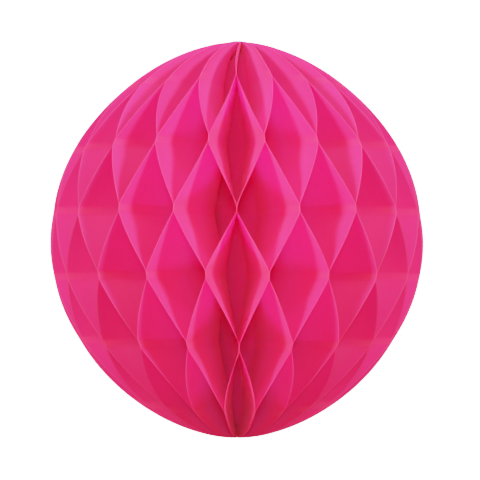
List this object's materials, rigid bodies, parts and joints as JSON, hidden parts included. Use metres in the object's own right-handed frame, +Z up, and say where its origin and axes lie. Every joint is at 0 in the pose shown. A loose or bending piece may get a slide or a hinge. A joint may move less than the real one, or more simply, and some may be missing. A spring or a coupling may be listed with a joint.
{
  "type": "honeycomb paper ball",
  "caption": "Hanging paper ball of thin leaves fanned round an upright spine and glued along staggered lines into diamond cells, closed by two card covers at the back.",
  "frame": {"origin": "centre of the ball, on the spine halfway between the poles", "axes": "+Z up the spine to the pole it hangs from, -Y to the viewer, and the closing seam on +Y"},
  "size_m": [0.1884, 0.1883, 0.2],
  "materials": {
    "leaf_paper": "matt dyed tissue",
    "cover_card": "matt dyed card",
    "seam_tape": "pale double-sided tape",
    "spine_thread": "stitched thread set in glue"
  },
  "bodies": {
    "root": {"leaf_01": "leaf_paper", "leaf_02": "leaf_paper", "leaf_03": "leaf_paper", "leaf_04": "leaf_paper", "leaf_05": "leaf_paper", "leaf_06": "leaf_paper", "leaf_07": "leaf_paper", "leaf_08": "leaf_paper", "leaf_09": "leaf_paper", "leaf_10": "leaf_paper", "leaf_11": "leaf_paper", "leaf_12": "leaf_paper", "leaf_13": "leaf_paper", "leaf_14": "leaf_paper", "leaf_15": "leaf_paper", "leaf_16": "leaf_paper", "leaf_17": "leaf_paper", "leaf_18": "leaf_paper", "leaf_19": "leaf_paper", "leaf_20": "leaf_paper", "leaf_21": "leaf_paper", "leaf_22": "leaf_paper", "leaf_23": "leaf_paper", "leaf_24": "leaf_paper", "leaf_25": "leaf_paper", "leaf_26": "leaf_paper", "leaf_27": "leaf_paper", "leaf_28": "leaf_paper", "leaf_29": "leaf_paper", "leaf_30": "leaf_paper", "leaf_31": "leaf_paper", "leaf_32": "leaf_paper", "leaf_33": "leaf_paper", "leaf_34": "leaf_paper", "leaf_35": "leaf_paper", "leaf_36": "leaf_paper", "leaf_37": "leaf_paper", "leaf_38": "leaf_paper", "leaf_39": "leaf_paper", "leaf_40": "leaf_paper", "cover_left": "cover_card", "cover_right": "cover_card", "tape_upper": "seam_tape", "tape_lower": "seam_tape", "spine_binding": "spine_thread"}
  },
  "joints": []
}
